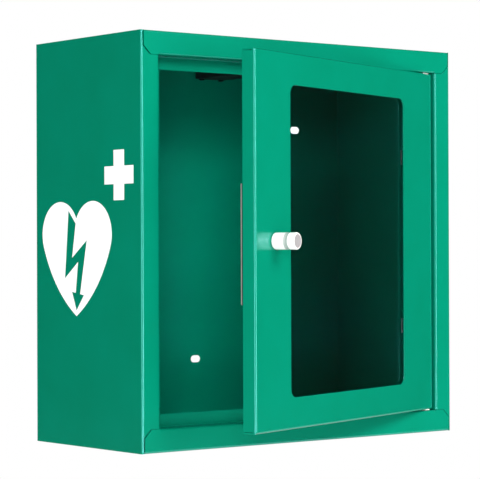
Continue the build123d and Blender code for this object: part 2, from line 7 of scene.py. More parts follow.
# %% Load the fixed frame
import json
import math
import bmesh
import bpy
import numpy as np
from mathutils import Matrix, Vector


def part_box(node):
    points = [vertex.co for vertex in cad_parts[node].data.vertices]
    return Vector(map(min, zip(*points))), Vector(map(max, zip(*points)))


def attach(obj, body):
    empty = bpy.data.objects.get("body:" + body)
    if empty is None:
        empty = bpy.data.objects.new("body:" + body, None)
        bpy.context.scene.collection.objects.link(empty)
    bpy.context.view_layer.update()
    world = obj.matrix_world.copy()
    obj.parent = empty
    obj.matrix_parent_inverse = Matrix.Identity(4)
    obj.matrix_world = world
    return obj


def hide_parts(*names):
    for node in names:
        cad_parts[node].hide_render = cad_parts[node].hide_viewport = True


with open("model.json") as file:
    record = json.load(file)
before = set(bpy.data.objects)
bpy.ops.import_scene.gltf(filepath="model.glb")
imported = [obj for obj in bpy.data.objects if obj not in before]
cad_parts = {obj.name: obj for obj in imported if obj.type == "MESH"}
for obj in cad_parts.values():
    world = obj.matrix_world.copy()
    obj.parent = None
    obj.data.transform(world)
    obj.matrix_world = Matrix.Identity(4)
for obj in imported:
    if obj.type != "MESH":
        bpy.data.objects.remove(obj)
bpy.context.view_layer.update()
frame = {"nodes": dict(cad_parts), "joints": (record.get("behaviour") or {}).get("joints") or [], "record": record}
body_of = {name: body for body, names in frame["record"]["behaviour"]["bodies"].items() for name in names}

# %% [markdown]
# ## The camera
# A catalogue picture is taken from far away with a long lens, so that upright edges stay upright. The camera stands
# two metres off, a little left of the cabinet and level with its middle, and turns to it by its yaw.

# %% Camera
CAMERA_PLACE = np.array([-1.2281, -1.6388, -0.0068])
CAMERA_YAW, CAMERA_PITCH, CAMERA_ROLL = np.radians([38.105, 0.268, -0.2045])
LENS_MM = 155.2155


def camera_turn(yaw, pitch, roll):
    """Columns right, up and back: forward is turned by yaw about Z, raised by pitch, then rolled about itself."""
    forward = np.array([np.sin(yaw) * np.cos(pitch), np.cos(yaw) * np.cos(pitch), np.sin(pitch)])
    right = np.array([np.cos(yaw), -np.sin(yaw), 0.0])
    up = np.cross(right, forward)
    rolled_right = np.cos(roll) * right + np.sin(roll) * up
    rolled_up = np.cos(roll) * up - np.sin(roll) * right
    return np.column_stack([rolled_right, rolled_up, -forward])


scene = bpy.context.scene
camera = bpy.data.objects.new("studio_camera", bpy.data.cameras.new("studio_camera"))
camera.data.sensor_width = 36.0
camera.data.lens = LENS_MM
camera.data.clip_start, camera.data.clip_end = 0.05, 50.0
camera.matrix_world = (Matrix.Translation(CAMERA_PLACE.tolist())
                       @ Matrix(camera_turn(CAMERA_YAW, CAMERA_PITCH, CAMERA_ROLL).tolist()).to_4x4())
scene.collection.objects.link(camera)
scene.camera = camera
scene.view_settings.view_transform = "Standard"
print("camera is", round(float(np.linalg.norm(CAMERA_PLACE)), 3), "m from the wall face's centre")

# %% [markdown]
# ## Two small helpers for every material
# Paint and plastic colours are quoted as hex codes, which are stored for screens. Blender's shaders add up light, so
# each code is turned to linear values once. The second helper adds a node with its settings and its links.

# %% Colour and node helpers
def linear(hex_code):
    """RGBA for a shader: each sRGB channel c becomes c / 12.92 when dark, else ((c + 0.055) / 1.055) ** 2.4."""
    code = np.array([int(hex_code[i:i + 2], 16) for i in (1, 3, 5)]) / 255.0
    channels = np.where(code <= 0.04045, code / 12.92, ((code + 0.055) / 1.055) ** 2.4)
    return (*channels.tolist(), 1.0)


def add(tree, kind, settings=None, links=None):
    """Add a node: settings go to its inputs or its own properties, links join other nodes' outputs to its inputs."""
    node = tree.nodes.new(kind)
    for name, value in (settings or {}).items():
        if isinstance(name, str) and hasattr(node, name):
            setattr(node, name, value)
        else:
            node.inputs[name].default_value = value
    for name, output in (links or {}).items():
        tree.links.new(output, node.inputs[name])
    return node


def start_material(name, settings):
    """An empty material with a Principled shader that has these constant settings, and its Object coordinates."""
    material = bpy.data.materials.new(name)
    material.use_nodes = True
    tree = material.node_tree
    tree.nodes.clear()
    shader = add(tree, "ShaderNodeBsdfPrincipled", settings)
    add(tree, "ShaderNodeOutputMaterial", links={"Surface": shader.outputs["BSDF"]})
    place = add(tree, "ShaderNodeTexCoord").outputs["Object"]
    return material, tree, shader, place


MM = 0.001

# %% [markdown]
# ## Powder-coated sheet steel
# The case and the door are dipped, sprayed with dry polyester powder and baked. The powder melts into a skin about
# 70 microns thick. It is smooth to the hand, but it keeps a low orange peel, swells a few millimetres across, that
# makes reflections swim, and a finer grain in its gloss. The colour is a deep blue-green, even all over, with only
# the faintest cloudiness where the powder lay thicker. Real paint reflects light untinted. Here the reflection is
# tinted cyan and made stronger than usual, because that matched the bright lines on the folds best. For use in
# another scene, a white Specular Tint, a Specular IOR Level of 0.5 and an IOR of 1.5 are the physical choice.

# %% Powder coat
PEEL_SPACING = 2.2 * MM
PEEL_HEIGHT = 0.006 * MM
GRAIN_SPACING = 0.9 * MM
CLOUD_SPACING = 60 * MM


def powder_coated_steel():
    """Two close greens in slow clouds, a grain in the gloss and a low orange peel in the surface."""
    material, tree, shader, place = start_material("powder_coated_steel", {
        "Specular IOR Level": 1.0, "Specular Tint": linear("#8FE8FF"), "IOR": 1.6})
    cloud = add(tree, "ShaderNodeTexNoise", {"Scale": 1 / CLOUD_SPACING, "Detail": 3.0}, {"Vector": place})
    tint = add(tree, "ShaderNodeValToRGB", links={"Fac": cloud.outputs["Fac"]})
    tint.color_ramp.elements[0].position, tint.color_ramp.elements[1].position = 0.3, 0.7
    tint.color_ramp.elements[0].color = linear("#007A5D")
    tint.color_ramp.elements[1].color = linear("#007E62")
    tree.links.new(tint.outputs["Color"], shader.inputs["Base Color"])
    grain = add(tree, "ShaderNodeTexNoise", {"Scale": 1 / GRAIN_SPACING, "Detail": 2.0}, {"Vector": place})
    gloss = add(tree, "ShaderNodeMapRange", {"To Min": 0.13, "To Max": 0.2}, {"Value": grain.outputs["Fac"]})
    tree.links.new(gloss.outputs["Result"], shader.inputs["Roughness"])
    peel = add(tree, "ShaderNodeTexNoise", {"Scale": 1 / PEEL_SPACING, "Detail": 1.0}, {"Vector": place})
    swell = add(tree, "ShaderNodeBump", {"Strength": 0.6, "Distance": PEEL_HEIGHT},
                {"Height": peel.outputs["Fac"]})
    tree.links.new(swell.outputs["Normal"], shader.inputs["Normal"])
    return material


finish = {"green_powder_coat": powder_coated_steel()}
print("made", finish["green_powder_coat"].name)

# %% [markdown]
# ## Zinc-plated steel
# Pins, screws, clips and nuts are turned or pressed from mild steel and plated with bright zinc. Tumbling in the
# plating barrel leaves fine scuffs, and the passivation gives a faint uneven blue-grey tone. The alarm's own screws
# have the black passivation, to match its shell.

# %% Zinc plate
SCUFF_SPACING = 0.35 * MM


def zinc_plated_steel(name, dark, light):
    """Two close metal shades mixed by a soft noise, with scuffs that change the roughness and the surface."""
    material, tree, shader, place = start_material(name, {"Metallic": 1.0})
    tone = add(tree, "ShaderNodeTexNoise", {"Scale": 1 / (4 * MM), "Detail": 2.0}, {"Vector": place})
    tint = add(tree, "ShaderNodeValToRGB", links={"Fac": tone.outputs["Fac"]})
    tint.color_ramp.elements[0].color = linear(dark)
    tint.color_ramp.elements[1].color = linear(light)
    tree.links.new(tint.outputs["Color"], shader.inputs["Base Color"])
    scuff = add(tree, "ShaderNodeTexNoise", {"Scale": 1 / SCUFF_SPACING, "Detail": 3.0}, {"Vector": place})
    dull = add(tree, "ShaderNodeMapRange", {"To Min": 0.22, "To Max": 0.42}, {"Value": scuff.outputs["Fac"]})
    tree.links.new(dull.outputs["Result"], shader.inputs["Roughness"])
    bump = add(tree, "ShaderNodeBump", {"Strength": 0.2, "Distance": 0.01 * MM}, {"Height": scuff.outputs["Fac"]})
    tree.links.new(bump.outputs["Normal"], shader.inputs["Normal"])
    return material


finish["zinc_plated_steel"] = zinc_plated_steel("zinc_bright_passivated", "#BFC4C9", "#D9DBDA")
black_screw_finish = zinc_plated_steel("zinc_black_passivated", "#1B1C1E", "#2A2B2D")

# %% [markdown]
# ## Moulded plastics
# The knob is injection-moulded white ABS from a polished mould, so it is glossy with the least waviness from
# shrinkage. The bushes are natural nylon, duller and creamier. The alarm is black ABS from a spark-eroded mould,
# whose fine grain scatters the light. One recipe serves all three, with its own colours, gloss and grain.

# %% Moulded plastics
def moulded_plastic(name, dark, light, gloss, grain, depth, coat=0.0):
    """Two close shades mixed by a soft noise, roughness between two values, and a bump at the mould's own grain."""
    material, tree, shader, place = start_material(name, {
        "IOR": 1.53, "Coat Weight": coat, "Coat Roughness": 0.05})
    tone = add(tree, "ShaderNodeTexNoise", {"Scale": 1 / (12 * MM), "Detail": 2.0}, {"Vector": place})
    tint = add(tree, "ShaderNodeValToRGB", links={"Fac": tone.outputs["Fac"]})
    tint.color_ramp.elements[0].color = linear(dark)
    tint.color_ramp.elements[1].color = linear(light)
    tree.links.new(tint.outputs["Color"], shader.inputs["Base Color"])
    skin = add(tree, "ShaderNodeTexNoise", {"Scale": 1 / grain, "Detail": 3.0}, {"Vector": place})
    shine = add(tree, "ShaderNodeMapRange", {"To Min": gloss[0], "To Max": gloss[1]},
                {"Value": skin.outputs["Fac"]})
    tree.links.new(shine.outputs["Result"], shader.inputs["Roughness"])
    bump = add(tree, "ShaderNodeBump", {"Strength": 0.4, "Distance": depth}, {"Height": skin.outputs["Fac"]})
    tree.links.new(bump.outputs["Normal"], shader.inputs["Normal"])
    return material


finish["white_moulded_plastic"] = moulded_plastic(
    "abs_white_polished_mould", "#F1F1EE", "#F7F7F5", (0.12, 0.2), 3 * MM, 0.004 * MM, coat=0.4)
finish["white_nylon"] = moulded_plastic(
    "nylon_natural_moulded", "#E6E3D8", "#EFEDE4", (0.4, 0.55), 0.5 * MM, 0.01 * MM)
finish["black_abs"] = moulded_plastic(
    "abs_black_spark_eroded", "#0B0C0D", "#121314", (0.45, 0.65), 0.3 * MM, 0.03 * MM)
knob_cap_finish = moulded_plastic(
    "abs_grey_matt_mould", "#8E8A8B", "#979394", (0.35, 0.5), 0.6 * MM, 0.008 * MM)
# The knob's waist finish is painted shade: a pale grey on the waist faces that stands in for the shade in its groove.
knob_waist_shade_finish = moulded_plastic(
    "painted_shade_knob_waist", "#98A19D", "#A0A8A4", (0.35, 0.5), 0.6 * MM, 0.008 * MM)

# %% [markdown]
# ## Foam tape, flexible magnet and vinyl
# The tape is black closed-cell polyethylene foam: matt, with cells a third of a millimetre across. The magnet strip
# is ferrite powder bonded in rubber and extruded, so fine drawn lines run along it. The signs are cut from gloss
# white calendered vinyl film.

# %% Foam, magnet and film
def closed_cell_foam():
    """Matt black with a bump of round cells."""
    material, tree, shader, place = start_material("polyethylene_foam_closed_cell", {
        "Base Color": linear("#101010"), "Roughness": 0.9, "IOR": 1.5})
    cells = add(tree, "ShaderNodeTexVoronoi", {"Scale": 1 / (0.35 * MM)}, {"Vector": place})
    bump = add(tree, "ShaderNodeBump", {"Strength": 0.8, "Distance": 0.06 * MM},
               {"Height": cells.outputs["Distance"]})
    tree.links.new(bump.outputs["Normal"], shader.inputs["Normal"])
    return material


def bonded_ferrite():
    """Two greys in noise stretched along z, so that it reads as drawn lines."""
    material, tree, shader, place = start_material("ferrite_rubber_extruded", {"Roughness": 0.5, "IOR": 1.5})
    drawn = add(tree, "ShaderNodeMapping", {"Scale": (1.0, 1.0, 0.03)}, {"Vector": place})
    lines = add(tree, "ShaderNodeTexNoise", {"Scale": 1 / (0.5 * MM), "Detail": 2.0},
                {"Vector": drawn.outputs["Vector"]})
    tint = add(tree, "ShaderNodeValToRGB", links={"Fac": lines.outputs["Fac"]})
    tint.color_ramp.elements[0].color = linear("#6A6966")
    tint.color_ramp.elements[1].color = linear("#8A8986")
    tree.links.new(tint.outputs["Color"], shader.inputs["Base Color"])
    bump = add(tree, "ShaderNodeBump", {"Strength": 0.5, "Distance": 0.03 * MM}, {"Height": lines.outputs["Fac"]})
    tree.links.new(bump.outputs["Normal"], shader.inputs["Normal"])
    return material


finish["black_foam_tape"] = closed_cell_foam()
finish["flexible_magnet"] = bonded_ferrite()
finish["white_vinyl"] = moulded_plastic(
    "vinyl_gloss_calendered", "#FBFCFD", "#FFFFFF", (0.22, 0.3), 2 * MM, 0.002 * MM)

# %% [markdown]
# ## Clear acrylic and glass
# The pane is cast acrylic with flame-polished edges. Acrylic bends light less than window glass, with an index of
# 1.49. The sheet gets a light smoke-grey tint, which is a guess: it is painted shade that darkens the cabinet's
# inside seen through the window, which lies in the door's shadow. Cast sheet is never quite flat, so a wide low swell
# keeps its reflections from looking like a mirror's.

# %% Clear materials
def clear_sheet(name, colour, index, swell, height):
    """Light passes through, tinted by the colour and bent by the index, past a wide low swell."""
    material, tree, shader, place = start_material(name, {
        "Base Color": linear(colour), "Roughness": 0.01, "IOR": index, "Transmission Weight": 1.0})
    wave = add(tree, "ShaderNodeTexNoise", {"Scale": 1 / swell, "Detail": 0.0}, {"Vector": place})
    bump = add(tree, "ShaderNodeBump", {"Strength": 0.3, "Distance": height}, {"Height": wave.outputs["Fac"]})
    tree.links.new(bump.outputs["Normal"], shader.inputs["Normal"])
    return material


# The pane's smoke-grey tint is painted shade: it darkens the inside seen through the window, which lies in the door's
# shadow.
finish["clear_acrylic"] = clear_sheet("acrylic_cast_polished", "#C8CFD3", 1.49, 90 * MM, 0.05 * MM)
finish["reed_glass"] = clear_sheet("glass_reed_tube", "#E8EFE9", 1.52, 5 * MM, 0.005 * MM)

# %% [markdown]
# ## Battery can and circuit board
# Both sit inside the alarm. The can is printed tinplate under lacquer, and the board is woven glass in epoxy under
# green solder mask, with the weave just showing through.

# %% Battery can and board
def lacquered_tinplate():
    """Two close greys under a clear coat."""
    material, tree, shader, place = start_material("tinplate_lacquered", {
        "Metallic": 0.6, "Roughness": 0.3, "Coat Weight": 0.5, "Coat Roughness": 0.1})
    tone = add(tree, "ShaderNodeTexNoise", {"Scale": 1 / (8 * MM), "Detail": 2.0}, {"Vector": place})
    tint = add(tree, "ShaderNodeValToRGB", links={"Fac": tone.outputs["Fac"]})
    tint.color_ramp.elements[0].color = linear("#4C5157")
    tint.color_ramp.elements[1].color = linear("#5C6269")
    tree.links.new(tint.outputs["Color"], shader.inputs["Base Color"])
    return material


def solder_masked_board():
    """Even green with the bump of a woven cloth."""
    material, tree, shader, place = start_material("epoxy_board_solder_masked", {
        "Base Color": linear("#0E4A2B"), "Roughness": 0.35, "IOR": 1.5})
    weave = add(tree, "ShaderNodeTexWave", {"Scale": 1 / (1.2 * MM), "Distortion": 0.5}, {"Vector": place})
    bump = add(tree, "ShaderNodeBump", {"Strength": 0.3, "Distance": 0.02 * MM}, {"Height": weave.outputs["Fac"]})
    tree.links.new(bump.outputs["Normal"], shader.inputs["Normal"])
    return material


finish["battery_can"] = lacquered_tinplate()
finish["circuit_board"] = solder_masked_board()
slot_of = {part["node"]: part["material_slot"] for part in frame["record"]["subparts"]}
print(len(finish), "finishes for", len(set(slot_of.values())), "slots")

# %% [markdown]
# ## Finishing the CAD nodes
# Every node takes its slot's finish. Sheet metal and moulded parts are never razor-sharp: a sheared edge keeps a
# small radius under its paint, and a thin bright line of light along it tells the eye that it is a real edge. So
# each such node gets a stand-in: a copy with its loose triangles merged into whole faces, a small Bevel, and
# Weighted Normals so that the large faces stay flat while the folds shade round.

# %% Finished copies
MERGE_DISTANCE = 3e-6
FLAT_ANGLE = math.radians(0.4)
SHARP_ANGLE = math.radians(32.0)
EDGE_STEPS = 2


def finished_copy(node, edge, special_finish=None):
    """A merged copy of a CAD node whose sharp edges are rounded to that radius in metres."""
    mesh = frame["nodes"][node].data.copy()
    for spare in [a.name for a in mesh.attributes if a.name == "custom_normal"]:
        mesh.attributes.remove(mesh.attributes[spare])
    shape = bmesh.new()
    shape.from_mesh(mesh)
    bmesh.ops.remove_doubles(shape, verts=shape.verts, dist=MERGE_DISTANCE)
    bmesh.ops.dissolve_limit(shape, angle_limit=FLAT_ANGLE, verts=shape.verts, edges=shape.edges)
    shape.to_mesh(mesh)
    shape.free()
    mesh.shade_smooth()
    piece = bpy.data.objects.new(node + "_finished", mesh)
    scene.collection.objects.link(piece)
    rounding = piece.modifiers.new("rounded edges", "BEVEL")
    rounding.width, rounding.segments = edge, EDGE_STEPS
    rounding.limit_method, rounding.angle_limit = "ANGLE", SHARP_ANGLE
    rounding.miter_outer = "MITER_SHARP"
    flat = piece.modifiers.new("flat faces", "WEIGHTED_NORMAL")
    flat.keep_sharp = False
    adopt(piece, node, special_finish=special_finish)
    return piece


def adopt(piece, *nodes, special_finish=None):
    """The piece stands for these nodes: it takes the first one's finish and moves with its body."""
    piece.data.materials.clear()
    piece.data.materials.append(special_finish or finish[slot_of[nodes[0]]])
    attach(piece, body_of[nodes[0]])
    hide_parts(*nodes)


for node, thing in frame["nodes"].items():
    thing.data.materials.clear()
    thing.data.materials.append(finish[slot_of[node]])

SHEET_EDGE = 0.25 * MM
for node in ("cabinet_wrap", "top_panel", "bottom_panel", "door_pan"):
    piece = finished_copy(node, SHEET_EDGE)
    print(piece.name, len(piece.data.vertices), "points,", len(piece.data.polygons), "faces")

# %% [markdown]
# ## Smaller parts, finished the same way
# Clips and screws are pressed or headed, so their edges are barely broken. The alarm's shell comes out of a mould
# with a third of a millimetre on its corners, and the pane's edges are flame-polished round.

# %% Moulded, pressed and polished parts
for node, edge in (("alarm_cover", 0.3 * MM), ("alarm_base", 0.25 * MM), ("battery_hatch", 0.2 * MM),
                   ("window_clips", 0.15 * MM), ("window_nuts", 0.15 * MM),
                   ("knob_screw", 0.15 * MM), ("door_magnet", 0.3 * MM), ("alarm_battery", 0.3 * MM),
                   ("window_pane", 0.4 * MM), ("switch_slider", 0.25 * MM), ("switch_body", 0.2 * MM),
                   ("alarm_sounder", 0.4 * MM), ("battery_snap", 0.2 * MM)):
    finished_copy(node, edge)
finished_copy("alarm_screws", 0.12 * MM, special_finish=black_screw_finish)
print("finished copies of the moulded and pressed parts")

# %% [markdown]
# ## The door's own frame
# Pieces of the door are easiest to draw with the door shut, square to the case. The hinge's joint gives the axis
# and says how far the door closes from rest, so turning a closed-door point back by that angle puts it in place.

# %% From the closed door to the door at rest
hinge = next(joint for joint in frame["joints"] if joint["name"] == "door_hinge")
HINGE = np.array(hinge["pos_m"])
AJAR = -math.radians(hinge["range_deg"][0])
DOOR_HANGS = np.array([-1.2, 0.0, 0.0]) * MM


def on_the_door(points):
    """Centred closed-door points, hung in place by d and turned about the hinge: h + R(ajar) (p + d - h)."""
    turn = np.array([[np.cos(AJAR), -np.sin(AJAR), 0.0], [np.sin(AJAR), np.cos(AJAR), 0.0], [0.0, 0.0, 1.0]])
    return (np.asarray(points) + DOOR_HANGS - HINGE) @ turn.T + HINGE


print("door stands", round(math.degrees(AJAR), 2), "degrees open")

# %% [markdown]
# ## Turned surfaces
# A lathe makes a surface of revolution: a profile of distances along the axis and radii, carried round a circle.
# The grid's first direction is the profile and its second is the angle, and rings that shrink to the axis are
# merged to one point, so poles are closed.

# %% Grid and turning helpers
def grid_mesh(name, grids, around=True, loop=False):
    """Quads over stacked grids of points (copies, i, j, 3): j closes on itself if around, i closes if loop."""
    grids = np.asarray(grids, float)
    grids = grids.reshape(-1, *grids.shape[-3:])
    copies, rows, columns = grids.shape[:3]
    c, i, j = np.meshgrid(np.arange(copies), np.arange(rows if loop else rows - 1),
                          np.arange(columns if around else columns - 1), indexing="ij")
    up, on = (i + 1) % rows, (j + 1) % columns
    corner = np.stack([(c * rows + i) * columns + j, (c * rows + i) * columns + on,
                       (c * rows + up) * columns + on, (c * rows + up) * columns + j], axis=-1)
    mesh = bpy.data.meshes.new(name)
    mesh.from_pydata(grids.reshape(-1, 3).tolist(), [], corner.reshape(-1, 4).tolist())
    return mesh


def closed_piece(mesh, node, edge=None, others=(), special_finish=None):
    """Merge each pole to one point, turn every face outwards, shade smooth, and let the piece stand for its node."""
    shape = bmesh.new()
    shape.from_mesh(mesh)
    bmesh.ops.remove_doubles(shape, verts=shape.verts, dist=1e-7)
    bmesh.ops.recalc_face_normals(shape, faces=shape.faces)
    shape.to_mesh(mesh)
    shape.free()
    mesh.shade_smooth()
    piece = bpy.data.objects.new(mesh.name, mesh)
    scene.collection.objects.link(piece)
    flat = piece.modifiers.new("flat faces", "WEIGHTED_NORMAL")
    flat.keep_sharp = False
    adopt(piece, node, *others, special_finish=special_finish)
    print(piece.name, len(mesh.polygons), "faces")
    return piece


def turned(start, direction, profile, steps=64):
    """P(k, a) = start + h[k] * axis + r[k] * (cos a * e1 + sin a * e2), over the profile k and the angle a."""
    axis = np.asarray(direction, float) / np.linalg.norm(direction)
    side = np.cross(axis, [0.0, 1.0, 0.0] if abs(axis[2]) > 0.9 else [0.0, 0.0, 1.0])
    e1 = side / np.linalg.norm(side)
    e2 = np.cross(axis, e1)
    angle = np.linspace(0, 2 * np.pi, steps, endpoint=False)
    h, r = np.asarray(profile, float).T
    ring = np.cos(angle)[:, None] * e1 + np.sin(angle)[:, None] * e2
    return np.asarray(start) + h[:, None, None] * axis + r[:, None, None] * ring


def corner_arc(h, r, radius, first, last, steps=6):
    """Points of a rounded corner: (h + radius cos t, r + radius sin t) for t from first to last, in degrees."""
    t = np.radians(np.linspace(first, last, steps))
    return np.column_stack([h + radius * np.cos(t), r + radius * np.sin(t)])


# %% [markdown]
# ## The pull knob
# A white moulded knob with a round-edged barrel, a shallow waist and a round-edged head. The waist's faces are
# painted pale grey as painted shade in its groove. Its end is closed by a matt grey cap that sits a third of a
# millimetre low in a thin rim. The profile starts at the bottom of the screw hole and ends in the middle of the cap.

# %% Knob
low, high = (np.array(corner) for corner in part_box("door_knob"))
KNOB_MIDDLE = (low + high) / 2
KNOB_AXIS = np.array([np.sin(AJAR), -np.cos(AJAR), 0.0])
KNOB_RADIUS = (high - low)[2] / 2
KNOB_LENGTH = 23.0 * MM
KNOB_FACE = KNOB_LENGTH - 0.2 * MM
KNOB_EDGE, FRONT_EDGE = 2.0 * MM, 1.4 * MM
BARREL, WAIST, WAIST_DIP = 12.4 * MM, 4.0 * MM, 0.4 * MM
HOLE_RADIUS, HOLE_DEPTH = 2.0 * MM, 12 * MM
CAP_RADIUS, CAP_DROP = 5.9 * MM, 0.3 * MM


def knob_profile():
    """Hole, base, rounded base edge, barrel, a cosine dip for the waist, head, rounded front edge, rim and cap."""
    t = np.linspace(0, 1, 13)
    groove = np.column_stack([BARREL + WAIST * t, KNOB_RADIUS - WAIST_DIP * (1 - np.cos(2 * np.pi * t)) / 2])
    rim = 0.15 * MM
    return np.vstack([
        [[HOLE_DEPTH, 0], [HOLE_DEPTH, HOLE_RADIUS], [0, HOLE_RADIUS]],
        corner_arc(KNOB_EDGE, KNOB_RADIUS - KNOB_EDGE, KNOB_EDGE, 180, 90, 8),
        groove,
        corner_arc(KNOB_FACE - FRONT_EDGE, KNOB_RADIUS - FRONT_EDGE, FRONT_EDGE, 90, 0, 10),
        corner_arc(KNOB_FACE - rim, CAP_RADIUS + rim, rim, 0, -90, 4),
        [[KNOB_FACE - CAP_DROP, CAP_RADIUS], [KNOB_FACE - CAP_DROP, CAP_RADIUS - rim],
         [KNOB_FACE - CAP_DROP, 0]]])


profile = knob_profile()
knob_points = turned(KNOB_MIDDLE - KNOB_AXIS * KNOB_LENGTH / 2, KNOB_AXIS, profile, 72)
knob = closed_piece(grid_mesh("pull_knob", knob_points), "door_knob")
knob.data.materials.append(knob_cap_finish)
knob.data.materials.append(knob_waist_shade_finish)
centres = np.zeros(len(knob.data.polygons) * 3)
knob.data.polygons.foreach_get("center", centres)
from_base = (centres.reshape(-1, 3) - KNOB_MIDDLE) @ KNOB_AXIS + KNOB_LENGTH / 2
across = np.linalg.norm(np.cross(centres.reshape(-1, 3) - KNOB_MIDDLE, KNOB_AXIS), axis=1)
is_cap = (from_base > KNOB_FACE - 2 * CAP_DROP) & (across < CAP_RADIUS)
# Faces in the waist groove take the pale grey painted shade.
is_waist_shade = (from_base > BARREL) & (from_base < BARREL + WAIST) & (across > CAP_RADIUS)
knob.data.polygons.foreach_set("material_index", (is_cap + 2 * is_waist_shade).astype(np.int32))
print("cap faces:", int(is_cap.sum()), "painted waist shade faces:", int(is_waist_shade.sum()))

# %% [markdown]
# ## Hinge pins and bushes
# Each pin is a turned shoulder pin, riveted over behind the case's return, with a chamfered tip. It runs in a nylon
# bush pressed into the door, whose collar keeps the painted faces apart. Their profiles are closed loops round the
# bore, so the surface closes in both directions.

# %% Pins and bushes
for place, way in (("upper", 1), ("lower", -1)):
    low, high = (np.array(corner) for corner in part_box(place + "_hinge_pin"))
    tip, top = (low[2], high[2]) if way > 0 else (high[2], low[2])
    reach = abs(top - tip)
    head_radius, stem_radius = (high - low)[0] / 2, 2.5 * MM
    head, chamfer, dimple = 1.6 * MM, 0.5 * MM, 0.5 * MM
    pin_profile = np.vstack([
        [[0, 0], [0, stem_radius - chamfer], [chamfer, stem_radius], [reach - head, stem_radius],
         [reach - head, head_radius - 0.1 * MM]],
        corner_arc(reach - 0.7 * MM, head_radius - 0.7 * MM, 0.7 * MM, 90, 0),
        [[reach, 1.4 * MM], [reach - dimple, 0.8 * MM], [reach - dimple, 0]]])
    closed_piece(grid_mesh(place + "_shoulder_pin", turned([HINGE[0], HINGE[1], tip], [0, 0, way], pin_profile, 40)),
                 place + "_hinge_pin")
    low, high = (np.array(corner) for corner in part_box(place + "_hinge_bush"))
    tip, top = (low[2], high[2]) if way > 0 else (high[2], low[2])
    reach = abs(top - tip)
    collar_radius, bush_radius, bore_radius = (high - low)[0] / 2, 4.0 * MM, 2.55 * MM
    collar = reach - 6.0 * MM
    soft = min(0.25 * MM, 0.4 * collar)
    bush_profile = np.vstack([
        corner_arc(soft, bore_radius + soft, soft, 270, 180, 4),
        corner_arc(soft, bush_radius - soft, soft, 180, 90, 4),
        [[reach - collar, bush_radius]],
        corner_arc(reach - collar + soft, collar_radius - soft, soft, 180, 90, 4),
        corner_arc(reach - soft, collar_radius - soft, soft, 90, 0, 4),
        corner_arc(reach - soft, bore_radius + soft, soft, 0, -90, 4)])
    closed_piece(grid_mesh(place + "_nylon_bush", turned([HINGE[0], HINGE[1], tip], [0, 0, way], bush_profile, 48),
                           loop=True), place + "_hinge_bush")

# %% [markdown]
# ## Threaded weld studs
# Eight M4 studs are welded to the back of the skin. A thread is a tube whose radius depends on height and angle
# together: the ridge climbs one pitch in each turn. One small grid serves all eight, moved by whole-array addition.

# %% Studs
STUD_RADIUS, STUD_LENGTH, PITCH = 2.0 * MM, 10.0 * MM, 0.7 * MM
THREAD_DEPTH, PLAIN = 0.32 * MM, 2.0 * MM
SKIN_BACK = -168.8 * MM
PANE_HALF = (115.0 * MM, 145.5 * MM)
STUD_OFFSET, SIDE_STEP, END_STEP = 6.0 * MM, 80 * MM, 60 * MM


def threaded_studs():
    """P(y, a): radius = outer - depth * wave(y / pitch - a / turn), a triangle wave that fades out near both ends."""
    y = np.linspace(0, STUD_LENGTH, 58)
    a = np.linspace(0, 2 * np.pi, 20, endpoint=False)
    phase = (y[:, None] / PITCH - a[None, :] / (2 * np.pi)) % 1.0
    fade = np.clip(np.minimum((y - PLAIN) / PITCH, (STUD_LENGTH - y) / PITCH), 0, 1)[:, None]
    r = STUD_RADIUS - THREAD_DEPTH * fade * (1 - np.abs(2 * phase - 1))
    r = r - np.clip(y - (STUD_LENGTH - 0.4 * MM), 0, None)[:, None]
    tube = np.stack([r * np.cos(a), np.repeat(y[:, None], 20, axis=1), r * np.sin(a)], axis=-1)
    ends = tube[[0, -1]].copy()
    ends[:, :, [0, 2]] = 0.0
    tube = np.concatenate([ends[:1], tube, ends[1:]])
    sx, sz = np.meshgrid([-1, 1], [-1, 1])
    sides = np.stack([sx.ravel() * (PANE_HALF[0] + STUD_OFFSET), sz.ravel() * SIDE_STEP], axis=-1)
    ends = np.stack([sx.ravel() * END_STEP, sz.ravel() * (PANE_HALF[1] + STUD_OFFSET)], axis=-1)
    places = np.insert(np.vstack([sides, ends]), 1, SKIN_BACK, axis=1)
    return on_the_door(tube[None] + places[:, None, None, :])


closed_piece(grid_mesh("threaded_studs", threaded_studs()), "window_studs")

# %% [markdown]
# ## The magnetic catch
# An extruded magnet strip sits on foam tape on the door's rear return. Extrusion gives it one cross-section along
# its whole length, with shallow grooves in its face, and it was cut with shears and pressed on by hand, so both
# layers wander by a tenth of a millimetre.

# %% Catch strip
STRIP_X, STRIP_Z = (-161.5 * MM, -149.5 * MM), (-54.2 * MM, 48.8 * MM)
RETURN_BACK, FOAM, MAGNET = -157.0 * MM, 1.5 * MM, 1.0 * MM
GROOVE_PITCH, GROOVE_DEPTH = 2.0 * MM, 0.12 * MM
STRIP_ROWS, WANDER_KNOTS = 90, 24
END_SHRINK = 0.04


